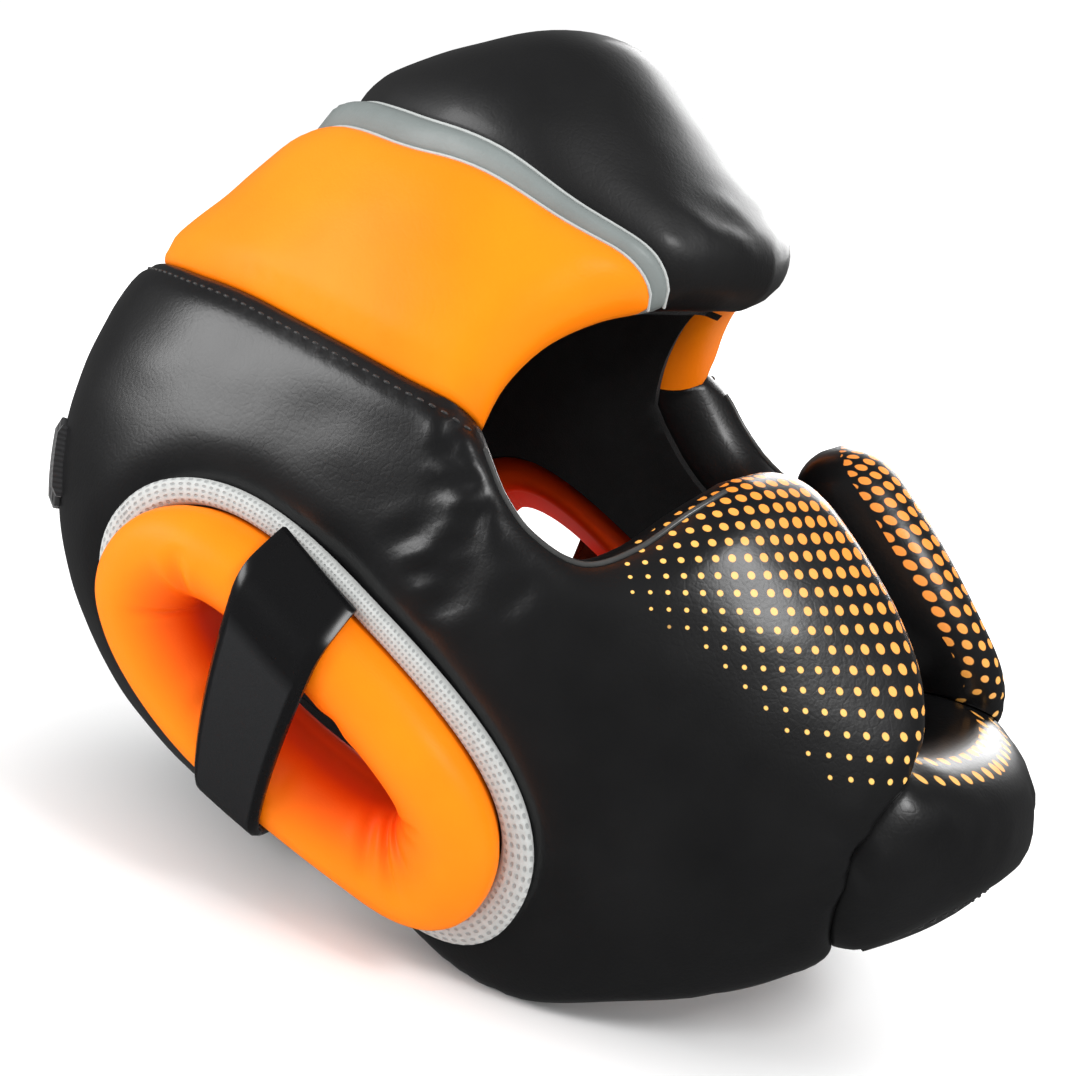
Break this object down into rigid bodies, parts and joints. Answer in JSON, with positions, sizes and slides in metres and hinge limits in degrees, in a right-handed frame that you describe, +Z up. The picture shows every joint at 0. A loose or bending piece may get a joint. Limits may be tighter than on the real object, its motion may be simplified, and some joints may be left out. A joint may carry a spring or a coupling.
{
  "type": "boxing headgear",
  "caption": "Padded full-face boxing headgear with cheek pads, a chin guard, open ear holes and straps, resting on its jaw and nape.",
  "frame": {"origin": "centre of the bounding box on the floor that the headgear lies on", "axes": "+X towards the wearer's left, -Y to the front, where the face looks out, +Z up from the floor"},
  "size_m": [0.2298, 0.3064, 0.2463],
  "materials": {
    "black_leather": "gloss",
    "orange_leather": "gloss",
    "grey_leather": "satin",
    "grey_piping": "matt",
    "strap_cover": "satin",
    "black_suede": "matt"
  },
  "bodies": {
    "root": {"forehead_panel": "black_leather", "grey_stripe_left": "grey_leather", "grey_stripe_right": "grey_leather", "crown_panel_left": "orange_leather", "crown_panel_right": "orange_leather", "side_pad_left": "black_leather", "side_pad_right": "black_leather", "chin_guard": "black_leather", "chin_underside_strip": "black_leather", "ear_ring_left": "orange_leather", "ear_ring_right": "orange_leather", "ear_trim_left": "grey_piping", "ear_trim_right": "grey_piping", "ear_strap_left": "strap_cover", "ear_strap_right": "strap_cover", "rear_strap": "strap_cover", "lining_left": "black_suede", "lining_right": "black_suede"}
  },
  "joints": []
}
